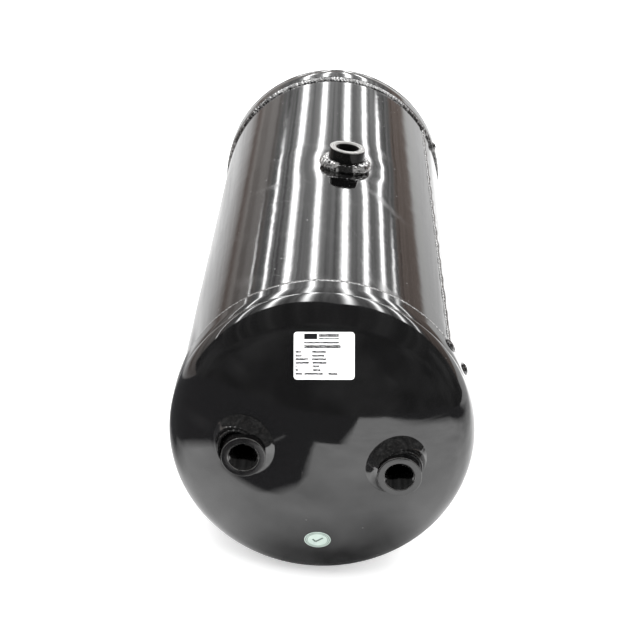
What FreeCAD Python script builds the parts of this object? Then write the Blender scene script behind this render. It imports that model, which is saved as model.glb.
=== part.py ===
import FreeCAD, Part
import math
import os

# A welded steel pressure tank that lies on its side. Its axis runs along Y.
# The origin is on the floor, under the middle of the tank.

# Heads: dished ends whose straight skirts lap over the ends of the shell.
head_diameter = 246.0
head_wall = 2.5
head_skirt = 22.0
crown_radius = 197.0
knuckle_radius = 38.0

# Shell: one rolled sheet, closed by a lengthwise seam.
shell_span = 555.0          # between the rims of the two heads
shell_wall = 2.3
lap_clearance = 0.2         # between a skirt and the shell inside it
lap_length = 16.0           # how far the shell reaches into each skirt

# Welds.
girth_weld_leg = 8.0
seam_weld_width = 6.0
seam_weld_height = 0.9
seam_weld_angle = 39.0      # above the horizontal, on the +X side
port_weld_leg = 7.0

# Ports: threaded bosses, one on top of the shell and two on each head.
port_diameter = 34.0
port_bore = 20.4            # minor diameter of an M22 x 1.5 thread
port_mouth = 24.0           # the bevel at the mouth of the bore
port_edge = 0.8             # the bevel round the outside of the face
port_height = 17.5          # from the wall to the face
port_root = 6.0             # how far a boss reaches in past the wall's outside
port_clearance = 0.15       # round a boss, in the hole that it passes through
end_port_spacing = 120.0
end_port_rise = 9.5         # above the tank's axis

# Papers stuck to the near head, placed from the tank's axis.
label_width = 46.0
label_height = 36.0
label_corner = 2.6
label_place = (-9.3, 89.2)
label_tilt = 7.8
sticker_diameter = 21.0
sticker_place = (7.0, -71.0)
paper_thickness = 0.3

# Worked out from these.
head_radius = head_diameter / 2
shell_radius = head_radius - head_wall - lap_clearance
rim_y = shell_span / 2
shell_end_y = rim_y + lap_length
knuckle_y = rim_y + head_skirt
knuckle_ring = head_radius - knuckle_radius
crown_y = knuckle_y - math.sqrt((crown_radius - knuckle_radius) ** 2 - knuckle_ring ** 2)
port_radius = port_diameter / 2
axis_height = head_radius
centre_line = FreeCAD.Vector(0, 0, axis_height)
far_crown = FreeCAD.Vector(0, crown_y, axis_height)
origin = FreeCAD.Vector(0, 0, 0)
x_way = FreeCAD.Vector(1, 0, 0)
y_way = FreeCAD.Vector(0, 1, 0)
z_way = FreeCAD.Vector(0, 0, 1)


def save(shape, node):
    shape.exportStep("parts/" + node + ".step")


def mirrored(shape):
    """The same shape at the tank's other end."""
    return shape.mirror(origin, y_way)


def polygon(points):
    """A closed outline in the XZ plane, from its corners."""
    corners = [FreeCAD.Vector(x, 0, z) for x, z in points]
    return Part.Face(Part.makePolygon(corners + [corners[0]]))


def turned(points, axis_base, axis_way):
    """A ring: an outline of (radius, height) corners turned about an upright axis, then placed."""
    ring = polygon(points).revolve(origin, z_way, 360)
    ring.Placement = FreeCAD.Placement(axis_base, FreeCAD.Rotation(z_way, axis_way))
    return ring


def round_bar(radius, length, base, way):
    return Part.makeCylinder(radius, length, base, way)


def crown_ball(radius):
    return Part.makeSphere(radius, far_crown, z_way)


# Heads and shell.

def dished_outline(inset):
    """Skirt, knuckle and crown of the far head's half section, moved in from its outer face."""
    turn = math.atan2(knuckle_ring, knuckle_y - crown_y)
    knuckle = knuckle_radius - inset
    crown = crown_radius - inset

    def on_knuckle(angle):
        return FreeCAD.Vector(0, knuckle_y + knuckle * math.cos(angle), knuckle_ring + knuckle * math.sin(angle))

    def on_crown(angle):
        return FreeCAD.Vector(0, crown_y + crown * math.cos(angle), crown * math.sin(angle))

    rim = FreeCAD.Vector(0, rim_y, head_radius - inset)
    skirt_end = on_knuckle(math.pi / 2)
    knuckle_end = on_knuckle(turn)
    skirt = Part.LineSegment(rim, skirt_end).toShape()
    bend = Part.Arc(skirt_end, on_knuckle((turn + math.pi / 2) / 2), knuckle_end).toShape()
    dish = Part.Arc(knuckle_end, on_crown(turn / 2), on_crown(0)).toShape()
    return rim, [skirt, bend, dish], on_crown(0)


def far_head():
    outer_rim, outer, outer_top = dished_outline(0.0)
    inner_rim, inner, inner_top = dished_outline(head_wall)
    rim_edge = Part.LineSegment(outer_rim, inner_rim).toShape()
    top_edge = Part.LineSegment(outer_top, inner_top).toShape()
    section = Part.Wire(Part.__sortEdges__(outer + inner + [rim_edge, top_edge]))
    head = Part.Face(section).revolve(origin, y_way, 360)
    head.translate(centre_line)
    for side in (-1, 1):
        head = head.cut(end_port_space(side))
    return head


def shell_bar(radius):
    """A solid bar along the shell, whole from end to end."""
    start = FreeCAD.Vector(0, -shell_end_y, axis_height)
    return round_bar(radius, 2 * shell_end_y, start, y_way)


def shell():
    tube = shell_bar(shell_radius).cut(shell_bar(shell_radius - shell_wall))
    base = FreeCAD.Vector(0, 0, axis_height)
    return tube.cut(round_bar(port_radius + port_clearance, 2 * head_radius, base, z_way))


# Welds between shell and heads.

def far_girth_weld():
    """A fillet from the head's rim down to the shell."""
    corners = [(shell_radius, rim_y), (head_radius, rim_y), (shell_radius, rim_y - girth_weld_leg)]
    weld = polygon(corners).revolve(origin, z_way, 360)
    weld.Placement = FreeCAD.Placement(centre_line, FreeCAD.Rotation(x_way, -90))
    return weld


def seam_weld():
    """A low bead along the shell, from one girth weld to the other."""
    half = seam_weld_width / 2
    length = shell_span - 2 * girth_weld_leg
    bead_radius = (half ** 2 + seam_weld_height ** 2) / (2 * seam_weld_height)
    start = FreeCAD.Vector(shell_radius + seam_weld_height - bead_radius, -length / 2, 0)
    bead = round_bar(bead_radius, length, start, y_way)
    bead.rotate(origin, y_way, -seam_weld_angle)
    bead.translate(centre_line)
    return bead.cut(shell_bar(shell_radius))


# Ports.

def boss(base, way):
    """A threaded boss whose axis passes through a base point on the wall."""
    bore = port_bore / 2
    mouth = port_mouth / 2
    corners = [
        (bore, -port_root),
        (port_radius, -port_root),
        (port_radius, port_height - port_edge),
        (port_radius - port_edge, port_height),
        (mouth, port_height),
        (bore, port_height - (mouth - bore)),
    ]
    return turned(corners, base, way)


def boss_weld(base, way, wall_way):
    """A fillet round a boss: a cone square to the wall, less the wall and the boss."""
    toe = port_radius + port_weld_leg
    below = port_weld_leg / 2
    corners = [(0, -below), (toe + below, -below), (port_radius, port_weld_leg), (0, port_weld_leg)]
    cone = turned(corners, base, wall_way)
    start = base - way * port_root
    return cone.cut(round_bar(port_radius, port_root + port_height, start, way))


def end_port_base(side):
    """Where an end port's axis meets the outside of the far head."""
    x = side * end_port_spacing / 2
    along = math.sqrt(crown_radius ** 2 - x ** 2 - end_port_rise ** 2)
    return FreeCAD.Vector(x, crown_y + along, axis_height + end_port_rise)


def end_port_space(side):
    """The hole through the head that an end port passes through."""
    start = FreeCAD.Vector(side * end_port_spacing / 2, rim_y, axis_height + end_port_rise)
    return round_bar(port_radius + port_clearance, crown_radius, start, y_way)


def end_port(side):
    return boss(end_port_base(side), y_way)


def end_port_weld(side):
    base = end_port_base(side)
    wall_way = base - far_crown
    wall_way.normalize()
    return boss_weld(base, y_way, wall_way).cut(crown_ball(crown_radius))


def top_port_base():
    return FreeCAD.Vector(0, 0, axis_height + shell_radius)


def top_port():
    return boss(top_port_base(), z_way)


def top_port_weld():
    return boss_weld(top_port_base(), z_way, z_way).cut(shell_bar(shell_radius))


# Papers.

def paper(bar, place, tilt):
    """A thin skin on the far head's crown, where a bar that stands on the crown passes through it."""
    x, z = place
    out = FreeCAD.Vector(x, math.sqrt(crown_radius ** 2 - x ** 2 - z ** 2), z)
    spin = FreeCAD.Rotation(y_way, -tilt)
    bar.Placement = FreeCAD.Placement(far_crown, FreeCAD.Rotation(y_way, out) * spin)
    skin = crown_ball(crown_radius + paper_thickness).cut(crown_ball(crown_radius))
    return skin.common(bar)


def label():
    start = FreeCAD.Vector(-label_width / 2, 0, -label_height / 2)
    bar = Part.makeBox(label_width, 2 * crown_radius, label_height, start)
    lengthwise = [edge for edge in bar.Edges if edge.Length > crown_radius]
    return paper(bar.makeFillet(label_corner, lengthwise), label_place, label_tilt)


def sticker():
    bar = round_bar(sticker_diameter / 2, 2 * crown_radius, origin, y_way)
    return paper(bar, sticker_place, 0)


os.makedirs("parts", exist_ok=True)

save(shell(), "shell")
save(seam_weld(), "longitudinal_seam_weld")
save(far_head(), "far_head")
save(mirrored(far_head()), "near_head")
save(far_girth_weld(), "far_girth_weld")
save(mirrored(far_girth_weld()), "near_girth_weld")
save(top_port(), "top_port_boss")
save(top_port_weld(), "top_port_weld")
for name, side in (("left", -1), ("right", 1)):
    save(end_port(side), "far_" + name + "_port_boss")
    save(end_port_weld(side), "far_" + name + "_port_weld")
    save(mirrored(end_port(side)), "near_" + name + "_port_boss")
    save(mirrored(end_port_weld(side)), "near_" + name + "_port_weld")
save(mirrored(label()), "rating_label")
save(mirrored(sticker()), "inspection_sticker")
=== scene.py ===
import math

import bpy
from mathutils import Matrix, Vector


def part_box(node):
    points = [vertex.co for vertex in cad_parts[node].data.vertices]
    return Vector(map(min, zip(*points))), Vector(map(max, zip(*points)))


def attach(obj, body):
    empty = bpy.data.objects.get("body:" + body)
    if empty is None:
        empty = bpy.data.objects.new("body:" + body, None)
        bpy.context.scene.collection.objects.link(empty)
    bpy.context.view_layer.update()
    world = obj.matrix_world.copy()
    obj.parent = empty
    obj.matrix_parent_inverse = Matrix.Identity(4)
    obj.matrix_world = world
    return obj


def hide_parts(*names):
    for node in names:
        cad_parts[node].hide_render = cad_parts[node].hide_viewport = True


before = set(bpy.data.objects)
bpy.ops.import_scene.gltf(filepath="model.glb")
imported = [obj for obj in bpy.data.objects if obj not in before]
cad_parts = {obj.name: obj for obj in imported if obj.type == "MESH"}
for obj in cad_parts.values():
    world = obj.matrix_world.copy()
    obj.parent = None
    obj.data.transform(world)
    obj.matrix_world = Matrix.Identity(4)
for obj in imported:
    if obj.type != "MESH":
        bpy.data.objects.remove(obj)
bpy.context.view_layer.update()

print("frame loaded,", len(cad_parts), "CAD nodes")

mm = 0.001
fullTurn = 2 * math.pi

# the tank's own measures, read from the CAD
headLow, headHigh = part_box("far_head")
shellLow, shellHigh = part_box("shell")
bossLow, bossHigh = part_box("far_right_port_boss")
topLow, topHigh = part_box("top_port_boss")
axisZ = (headLow.z + headHigh.z) / 2
headRadius = (headHigh.x - headLow.x) / 2
shellRadius = (shellHigh.x - shellLow.x) / 2
rimY = headLow.y
crownTopY = headHigh.y
shellEndY = shellHigh.y
bossRadius = (bossHigh.x - bossLow.x) / 2
tankAxis = Vector((0, 0, axisZ))


# modelling helpers: each takes up the piece that it works on
def editMode():
    bpy.ops.object.mode_set(mode="EDIT")


def objectMode():
    bpy.ops.object.mode_set(mode="OBJECT")


def startFresh():
    if bpy.context.object and bpy.context.object.mode != "OBJECT":
        objectMode()
    bpy.ops.object.select_all(action="DESELECT")


def takeUp(*pieces):  # select these, the first one active
    startFresh()
    for piece in pieces:
        piece.select_set(True)
    bpy.context.view_layer.objects.active = pieces[0]


def named(name):
    piece = bpy.context.object
    piece.name = name
    piece.data.name = name
    return piece


def pick(piece, kind, wanted):  # leaves edit mode open with what is wanted selected
    takeUp(piece)
    editMode()
    bpy.ops.mesh.select_mode(type=kind)
    bpy.ops.mesh.select_all(action="DESELECT")
    objectMode()
    mesh = piece.data
    if kind == "FACE":
        for face in mesh.polygons:
            face.select = wanted(face.center, face.normal)
    elif kind == "EDGE":
        for edge in mesh.edges:
            a, b = (mesh.vertices[i].co for i in edge.vertices)
            edge.select = wanted(a, b)
    else:
        for vert in mesh.vertices:
            vert.select = wanted(vert.co)
    editMode()


def pickNumbers(piece, numbers):
    takeUp(piece)
    editMode()
    bpy.ops.mesh.select_mode(type="VERT")
    bpy.ops.mesh.select_all(action="DESELECT")
    objectMode()
    for i in numbers:
        piece.data.vertices[i].select = True
    editMode()


def applyPlace(piece):
    takeUp(piece)
    bpy.ops.object.transform_apply(location=True, rotation=True, scale=True)


def modified(piece, name, kind, **settings):
    takeUp(piece)
    modifier = piece.modifiers.new(name, kind)
    for key, value in settings.items():
        setattr(modifier, key, value)
    bpy.ops.object.modifier_apply(modifier=name)


def cleaned(piece):
    takeUp(piece)
    editMode()
    bpy.ops.mesh.select_all(action="SELECT")
    bpy.ops.mesh.remove_doubles(threshold=0.002 * mm)
    bpy.ops.mesh.normals_make_consistent(inside=False)
    objectMode()


def faceOutwards(piece, middle):  # for an open skin, whose inside isn't told by its shape
    out = sum((face.center - middle).dot(face.normal) * face.area for face in piece.data.polygons)
    if out < 0:
        takeUp(piece)
        editMode()
        bpy.ops.mesh.select_all(action="SELECT")
        bpy.ops.mesh.flip_normals()
        objectMode()


def smoothed(piece, degrees):
    takeUp(piece)
    bpy.ops.object.shade_smooth_by_angle(angle=math.radians(degrees))


def copied(piece, name):
    takeUp(piece)
    bpy.ops.object.duplicate(linked=False)
    return named(name)


def joined(piece, *others):
    takeUp(piece, *others)
    bpy.ops.object.join()
    return piece


def mirroredAcross(piece, axis):
    piece.scale[axis] = -1
    applyPlace(piece)
    cleaned(piece)


def cutAway(piece, *cutters):
    for cutter in cutters:
        modified(piece, "cut", "BOOLEAN", object=cutter, operation="DIFFERENCE", solver="EXACT")
        bpy.data.objects.remove(cutter)


def straights(start, *corners):  # the straight runs from one corner to the next
    runs = []
    for corner in corners:
        runs.append(("line", corner[0] - start[0], corner[1] - start[1]))
        start = corner
    return runs


def bulge(a, b, height, steps):  # an arc from a to b that swells to the right of the way there
    a, b = Vector(a), Vector(b)
    chord = b - a
    radius = (chord.length ** 2 / 4 + height ** 2) / (2 * height)
    left = Vector((-chord.y, chord.x)).normalized()
    centre = (a + b) / 2 + left * (radius - height)
    return ("arc", centre.x, centre.y, math.degrees(2 * math.asin(chord.length / 2 / radius)), steps)


def lathed(name, start, runs, steps):
    # an outline of (radius, height) drawn by extruding and spinning a point, then spun about Y
    startFresh()
    bpy.ops.mesh.primitive_plane_add(size=mm, location=(start[0], start[1], 0))
    piece = named(name)
    editMode()
    bpy.ops.mesh.select_mode(type="VERT")
    bpy.ops.mesh.merge(type="CENTER")
    for run in runs:
        if run[0] == "line":
            bpy.ops.mesh.extrude_region_move(TRANSFORM_OT_translate={"value": (run[1], run[2], 0)})
        else:
            bpy.ops.mesh.spin(
                steps=run[4], angle=math.radians(run[3]), center=(run[1], run[2], 0), axis=(0, 0, -1)
            )
    bpy.ops.mesh.select_all(action="SELECT")
    bpy.ops.mesh.spin(steps=steps, angle=fullTurn, center=(0, 0, 0), axis=(0, 1, 0))
    objectMode()
    applyPlace(piece)
    cleaned(piece)
    return piece


def standOn(piece, foot, way):  # with the piece's own Y axis turned to the given way
    turn = Vector((0, 1, 0)).rotation_difference(way).to_matrix().to_4x4()
    piece.matrix_world = Matrix.Translation(foot) @ turn


def finished(piece, material, slot, *nodes):
    applyPlace(piece)
    piece.data.materials.clear()
    piece.data.materials.append(material)
    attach(piece, "root")
    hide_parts(*nodes)
    return piece


# shading helpers
def put(tree, kind, inputs=None, **settings):
    made = tree.nodes.new(kind)
    for key, value in settings.items():
        setattr(made, key, value)
    for key, value in (inputs or {}).items():
        if isinstance(value, bpy.types.NodeSocket):
            tree.links.new(value, made.inputs[key])
        else:
            made.inputs[key].default_value = value
    return made


def maths(tree, operation, a, b=0.5, c=0.5, clamp=False):
    return put(tree, "ShaderNodeMath", {0: a, 1: b, 2: c}, operation=operation, use_clamp=clamp).outputs[0]


def folded(tree, operation, *values):  # one value out of several, such as a product or the highest
    result = values[0]
    for value in values[1:]:
        result = maths(tree, operation, result, value)
    return result


def ranged(tree, value, low, high, toLow=0.0, toHigh=1.0, smooth=False):
    kind = "SMOOTHSTEP" if smooth else "LINEAR"
    inputs = {"Value": value, "From Min": low, "From Max": high, "To Min": toLow, "To Max": toHigh}
    return put(tree, "ShaderNodeMapRange", inputs, interpolation_type=kind).outputs["Result"]


def blended(tree, factor, a, b):
    inputs = {0: factor, 6: a, 7: b}
    return put(tree, "ShaderNodeMix", inputs, data_type="RGBA").outputs[2]


def noise(tree, vector, scale, detail=2.0, roughness=0.5, distortion=0.0):
    inputs = {
        "Vector": vector, "Scale": scale, "Detail": detail, "Roughness": roughness, "Distortion": distortion,
    }
    return put(tree, "ShaderNodeTexNoise", inputs).outputs[0]


def patches(tree, vector, scale, detail, low, high, smooth=False):  # noise cut down to soft patches
    return ranged(tree, noise(tree, vector, scale, detail), low, high, smooth=smooth)


def bell(tree, value, middle, width):  # 1 in the middle, fading on both sides
    away = maths(tree, "DIVIDE", maths(tree, "SUBTRACT", value, middle), width)
    return maths(tree, "EXPONENT", folded(tree, "MULTIPLY", away, away, -1.0))


def grey(tree, tone):
    return put(tree, "ShaderNodeCombineColor", {"Red": tone, "Green": tone, "Blue": tone}).outputs[0]


def split(tree, vector):
    return put(tree, "ShaderNodeSeparateXYZ", {"Vector": vector}).outputs


def fromAxis(tree, vector):  # how far from the piece's own Y axis
    parts = split(tree, vector)
    flat = put(tree, "ShaderNodeCombineXYZ", {"X": parts["X"], "Y": parts["Z"]}).outputs[0]
    return put(tree, "ShaderNodeVectorMath", {0: flat}, operation="LENGTH").outputs["Value"]


def inFrame(tree, vector, location, rotation):  # the same spot, told from a place that is moved and turned
    inputs = {"Vector": vector, "Location": location, "Rotation": rotation}
    return put(tree, "ShaderNodeMapping", inputs, vector_type="TEXTURE").outputs[0]


def group(name, inputs, outputs):
    tree = bpy.data.node_groups.new(name, "ShaderNodeTree")
    for key, value in inputs.items():
        kind = "NodeSocketVector" if value is None else "NodeSocketFloat"
        socket = tree.interface.new_socket(name=key, in_out="INPUT", socket_type=kind)
        if value is not None:
            socket.default_value = value
    for key in outputs:
        tree.interface.new_socket(name=key, in_out="OUTPUT", socket_type="NodeSocketFloat")
    return tree, tree.nodes.new("NodeGroupInput").outputs, tree.nodes.new("NodeGroupOutput").inputs


def placed(tree, made, **values):
    return put(tree, "ShaderNodeGroup", values, node_tree=made).outputs


def newMaterial(name):
    material = bpy.data.materials.new(name)
    material.use_nodes = True
    tree = material.node_tree
    return material, tree, tree.nodes["Principled BSDF"]


def coated(tree, shader, colour, rough, height, strength, depth):
    bump = put(tree, "ShaderNodeBump", {"Height": height, "Strength": strength, "Distance": depth})
    tree.links.new(colour, shader.inputs["Base Color"])
    tree.links.new(rough, shader.inputs["Roughness"])
    tree.links.new(bump.outputs[0], shader.inputs["Normal"])


# paint skin: the orange peel of a sprayed coat over a slightly uneven sheet, dull in places
def makePaintSkin():
    inputs = {
        "Vector": None, "PeelScale": 300.0, "GrainScale": 110.0, "Grain": 1.0, "WaveScale": 30.0,
        "Waves": 0.5,
    }
    tree, given, out = group("paintSkin", inputs, ["Height", "Cloud"])
    peel = noise(tree, given["Vector"], given["PeelScale"], 1.5)
    grain = noise(tree, given["Vector"], given["GrainScale"], 2.0)
    waves = noise(tree, given["Vector"], given["WaveScale"], 1.0)
    height = maths(tree, "MULTIPLY_ADD", grain, given["Grain"], peel)
    tree.links.new(maths(tree, "MULTIPLY_ADD", waves, given["Waves"], height), out["Height"])
    tree.links.new(patches(tree, given["Vector"], 11.0, 3.0, 0.35, 0.7), out["Cloud"])
    return tree


# wipe marks: the faint arcs that a cloth leaves on gloss
def makeWipeMarks():
    tree, given, out = group("wipeMarks", {"Vector": None, "Scale": 9.0, "Amount": 0.4}, ["Mask"])
    inputs = {
        "Vector": given["Vector"], "Scale": given["Scale"], "Distortion": 9.0, "Detail": 2.0,
        "Detail Scale": 0.6,
    }
    bands = put(tree, "ShaderNodeTexWave", inputs, bands_direction="DIAGONAL").outputs["Fac"]
    lines = ranged(tree, bands, 0.72, 0.98, smooth=True)
    places = patches(tree, given["Vector"], 14.0, 2.0, 0.54, 0.7, True)
    tree.links.new(folded(tree, "MULTIPLY", lines, places, given["Amount"]), out["Mask"])
    return tree


# fine scratches: hair lines in two directions, only in places
def makeFineScratches():
    tree, given, out = group("fineScratches", {"Vector": None, "Scale": 60.0, "Amount": 0.5}, ["Mask"])
    masks = []
    for turn in ((0.3, 0.5, 0.9), (1.1, -0.4, 2.2)):
        turned = put(tree, "ShaderNodeMapping", {"Vector": given["Vector"], "Rotation": turn}).outputs[0]
        inputs = {
            "Vector": turned, "Scale": given["Scale"], "Distortion": 1.2, "Detail": 1.0, "Detail Scale": 0.3,
        }
        lines = put(tree, "ShaderNodeTexWave", inputs).outputs["Fac"]
        thin = ranged(tree, lines, 0.9965, 1.0)
        masks.append(maths(tree, "MULTIPLY", thin, patches(tree, turned, 38.0, 1.0, 0.6, 0.66)))
    mask = folded(tree, "MAXIMUM", *masks)
    tree.links.new(maths(tree, "MULTIPLY", mask, given["Amount"]), out["Mask"])
    return tree


# dust specks: small round grains, scattered
def makeDustSpecks():
    inputs = {"Vector": None, "Scale": 220.0, "Size": 0.16, "Share": 0.12}
    tree, given, out = group("dustSpecks", inputs, ["Mask"])
    cells = put(tree, "ShaderNodeTexVoronoi", {"Vector": given["Vector"], "Scale": given["Scale"]})
    dot = maths(tree, "LESS_THAN", cells.outputs["Distance"], given["Size"])
    cellColour = put(tree, "ShaderNodeSeparateColor", {"Color": cells.outputs["Color"]}).outputs[0]
    kept = maths(tree, "LESS_THAN", cellColour, given["Share"])
    tree.links.new(maths(tree, "MULTIPLY", dot, kept), out["Mask"])
    return tree


# turned rings: the tool marks that facing leaves round a port, from its own place attribute
def makeTurnedRings():
    inputs = {
        "Vector": None, "Pitch": 0.8 * mm, "Face": 17.5 * mm, "PeelScale": 500.0, "Peel": 0.25, "Shade": 0.0,
    }
    tree, given, out = group("turnedRings", inputs, ["Height", "OnFace", "Bright"])
    turns = maths(tree, "DIVIDE", fromAxis(tree, given["Vector"]), given["Pitch"])
    rings = maths(tree, "SINE", maths(tree, "MULTIPLY", turns, fullTurn))
    below = maths(tree, "SUBTRACT", given["Face"], split(tree, given["Vector"])["Y"])
    onFace = ranged(tree, below, 0.5 * mm, 1.3 * mm, 1.0, 0.0)
    peel = maths(tree, "MULTIPLY", noise(tree, given["Vector"], given["PeelScale"], 2.0), given["Peel"])
    bright = ranged(tree, rings, -0.5, 0.3, 0.0, given["Shade"])
    tree.links.new(maths(tree, "MULTIPLY_ADD", rings, onFace, peel), out["Height"])
    tree.links.new(onFace, out["OnFace"])
    tree.links.new(maths(tree, "MULTIPLY", bright, onFace), out["Bright"])
    return tree


# worn edges: paint is thin round a port's face and round its mouth, and steel shows through
def makeWornEdges():
    inputs = {
        "Vector": None, "Outer": 17 * mm, "Mouth": 12 * mm, "OnFace": 1.0, "Wear": 0.1, "MouthWear": 0.9,
    }
    tree, given, out = group("wornEdges", inputs, ["Mask"])
    radius = fromAxis(tree, given["Vector"])
    outer = ranged(tree, maths(tree, "SUBTRACT", given["Outer"], radius), 0.15 * mm, 0.45 * mm, 1.0, 0.0)
    lip = maths(tree, "SUBTRACT", given["Mouth"], 0.1 * mm)
    fromLip = maths(tree, "ABSOLUTE", maths(tree, "SUBTRACT", radius, lip))
    inner = ranged(tree, fromLip, 0.15 * mm, 0.4 * mm, given["MouthWear"], 0.0)
    patchy = ranged(tree, noise(tree, given["Vector"], 240.0), 0.35, 0.6, 0.35, 1.0)
    either = maths(tree, "MAXIMUM", outer, inner)
    tree.links.new(folded(tree, "MULTIPLY", either, given["OnFace"], patchy, given["Wear"]), out["Mask"])
    return tree


# grime: soft dirty patches
def makeGrime():
    tree, given, out = group("grime", {"Vector": None, "Scale": 160.0}, ["Mask"])
    dirt = noise(tree, given["Vector"], given["Scale"], 4.0, 0.6)
    tree.links.new(ranged(tree, dirt, 0.45, 0.75), out["Mask"])
    return tree


# weld skin: the grain and soot of a painted bead
def makeWeldSkin():
    tree, given, out = group("weldSkin", {"Vector": None, "GrainScale": 800.0}, ["Grain", "Cloud", "Soot"])
    tree.links.new(noise(tree, given["Vector"], given["GrainScale"], 3.0, 0.6), out["Grain"])
    tree.links.new(patches(tree, given["Vector"], 240.0, 2.0, 0.35, 0.7), out["Cloud"])
    tree.links.new(patches(tree, given["Vector"], 500.0, 2.0, 0.5, 0.8), out["Soot"])
    return tree


# bare steel: patches where spatter was knocked off, from some way out to the sides
def makeBareSteel():
    inputs = {"Vector": None, "Scale": 260.0, "Low": 0.5, "Amount": 0.3, "From": 0.0}
    tree, given, out = group("bareSteel", inputs, ["Mask"])
    spots = noise(tree, given["Vector"], given["Scale"], 2.0, 0.5, 0.6)
    bare = ranged(tree, spots, given["Low"], maths(tree, "ADD", given["Low"], 0.13), 0.0, given["Amount"])
    aside = maths(tree, "ABSOLUTE", split(tree, given["Vector"])["X"])
    outside = ranged(tree, maths(tree, "SUBTRACT", given["From"], aside), 0.0, 5 * mm, 1.0, 0.0)
    tree.links.new(maths(tree, "MULTIPLY", bare, outside), out["Mask"])
    return tree


paintSkin = makePaintSkin()
wipeMarks = makeWipeMarks()
fineScratches = makeFineScratches()
dustSpecks = makeDustSpecks()
turnedRings = makeTurnedRings()
wornEdges = makeWornEdges()
grime = makeGrime()
weldSkin = makeWeldSkin()
bareSteel = makeBareSteel()
print("shader groups made")

shellPaintLook = {
    "colour": (0.0032, 0.0031, 0.0033, 1), "haze": (0.085, 0.083, 0.082, 1), "index": 1.78,
    "rough": 0.05, "roughSpread": 0.03, "markRough": 0.35,
    "peelScale": 420.0, "grainScale": 120.0, "grain": 1.8, "waveScale": 26.0, "waves": 8.0,
    "depth": 0.014 * mm, "wipes": 0.42, "scratches": 0.35, "scratchDepth": 0.6, "specks": 0.03,
}
headPaintLook = {
    "colour": (0.0030, 0.0030, 0.0032, 1), "haze": (0.05, 0.05, 0.05, 1), "index": 1.78,
    "rough": 0.045, "roughSpread": 0.04, "markRough": 0.35,
    "peelScale": 380.0, "grainScale": 90.0, "grain": 1.3, "waveScale": 22.0, "waves": 5.0,
    "depth": 0.009 * mm, "wipes": 0.2, "scratches": 0.07, "scratchDepth": 0.6, "specks": 0.006,
}
portPaintLook = {
    "colour": (0.0030, 0.0030, 0.0031, 1), "dirt": (0.008, 0.0075, 0.007, 1), "steel": (0.62, 0.61, 0.59, 1),
    "index": 1.78, "face": 0.10, "side": 0.05, "dirtRough": 0.06, "wornRough": 0.3,
    "ringPitch": 0.75 * mm, "ringDepth": 0.016 * mm, "ringShade": 0.0, "peelScale": 500.0, "peel": 0.25,
    "wear": 0.10, "mouthWear": 0.9,
}
topPortPaintLook = dict(
    portPaintLook, colour=(0.0035, 0.0035, 0.0035, 1), index=1.28, face=0.30, ringPitch=1.6 * mm,
    ringDepth=0.05 * mm, ringShade=0.8, peel=0.12, wear=0.5, mouthWear=0.8
)
weldPaintLook = {
    "colour": (0.0042, 0.0040, 0.0040, 1), "soot": (0.016, 0.015, 0.014, 1), "steel": (0.70, 0.69, 0.68, 1),
    "index": 2.3, "roughLow": 0.03, "roughHigh": 0.11, "grainScale": 800.0, "grainDepth": 0.025 * mm,
    "pitScale": 420.0, "pitSize": 0.3, "pitShare": 0.25, "pitDepth": 0.8,
    "bare": 0.30, "bareLow": 0.50, "bareScale": 260.0, "bareFrom": 0.0,
}
topWeldPaintLook = dict(weldPaintLook, index=1.85, bare=0.9, bareLow=0.45, bareScale=330.0, bareFrom=11 * mm)
collarPaintLook = dict(
    weldPaintLook, colour=(0.0030, 0.0030, 0.0030, 1), index=2.0, roughLow=0.018, roughHigh=0.066,
    grainScale=350.0, grainDepth=0.006 * mm, bare=0.0
)


def glossPaint(name, look):
    material, tree, shader = newMaterial(name)
    place = put(tree, "ShaderNodeTexCoord").outputs["Object"]
    skin = placed(
        tree, paintSkin, Vector=place, PeelScale=look["peelScale"], GrainScale=look["grainScale"],
        Grain=look["grain"], WaveScale=look["waveScale"], Waves=look["waves"]
    )
    wipes = placed(tree, wipeMarks, Vector=place, Amount=look["wipes"])["Mask"]
    scratches = placed(tree, fineScratches, Vector=place, Amount=look["scratches"])["Mask"]
    specks = placed(tree, dustSpecks, Vector=place, Share=look["specks"])["Mask"]
    marks = maths(tree, "MULTIPLY_ADD", wipes, 0.5, maths(tree, "ADD", scratches, specks), clamp=True)
    colour = blended(tree, marks, look["colour"], look["haze"])
    cloudy = maths(tree, "MULTIPLY_ADD", skin["Cloud"], look["roughSpread"], look["rough"])
    rough = maths(tree, "MULTIPLY_ADD", marks, look["markRough"], cloudy, clamp=True)
    height = maths(tree, "MULTIPLY_ADD", scratches, -look["scratchDepth"], skin["Height"])
    coated(tree, shader, colour, rough, height, 1.0, look["depth"])
    shader.inputs["IOR"].default_value = look["index"]
    return material


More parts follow.
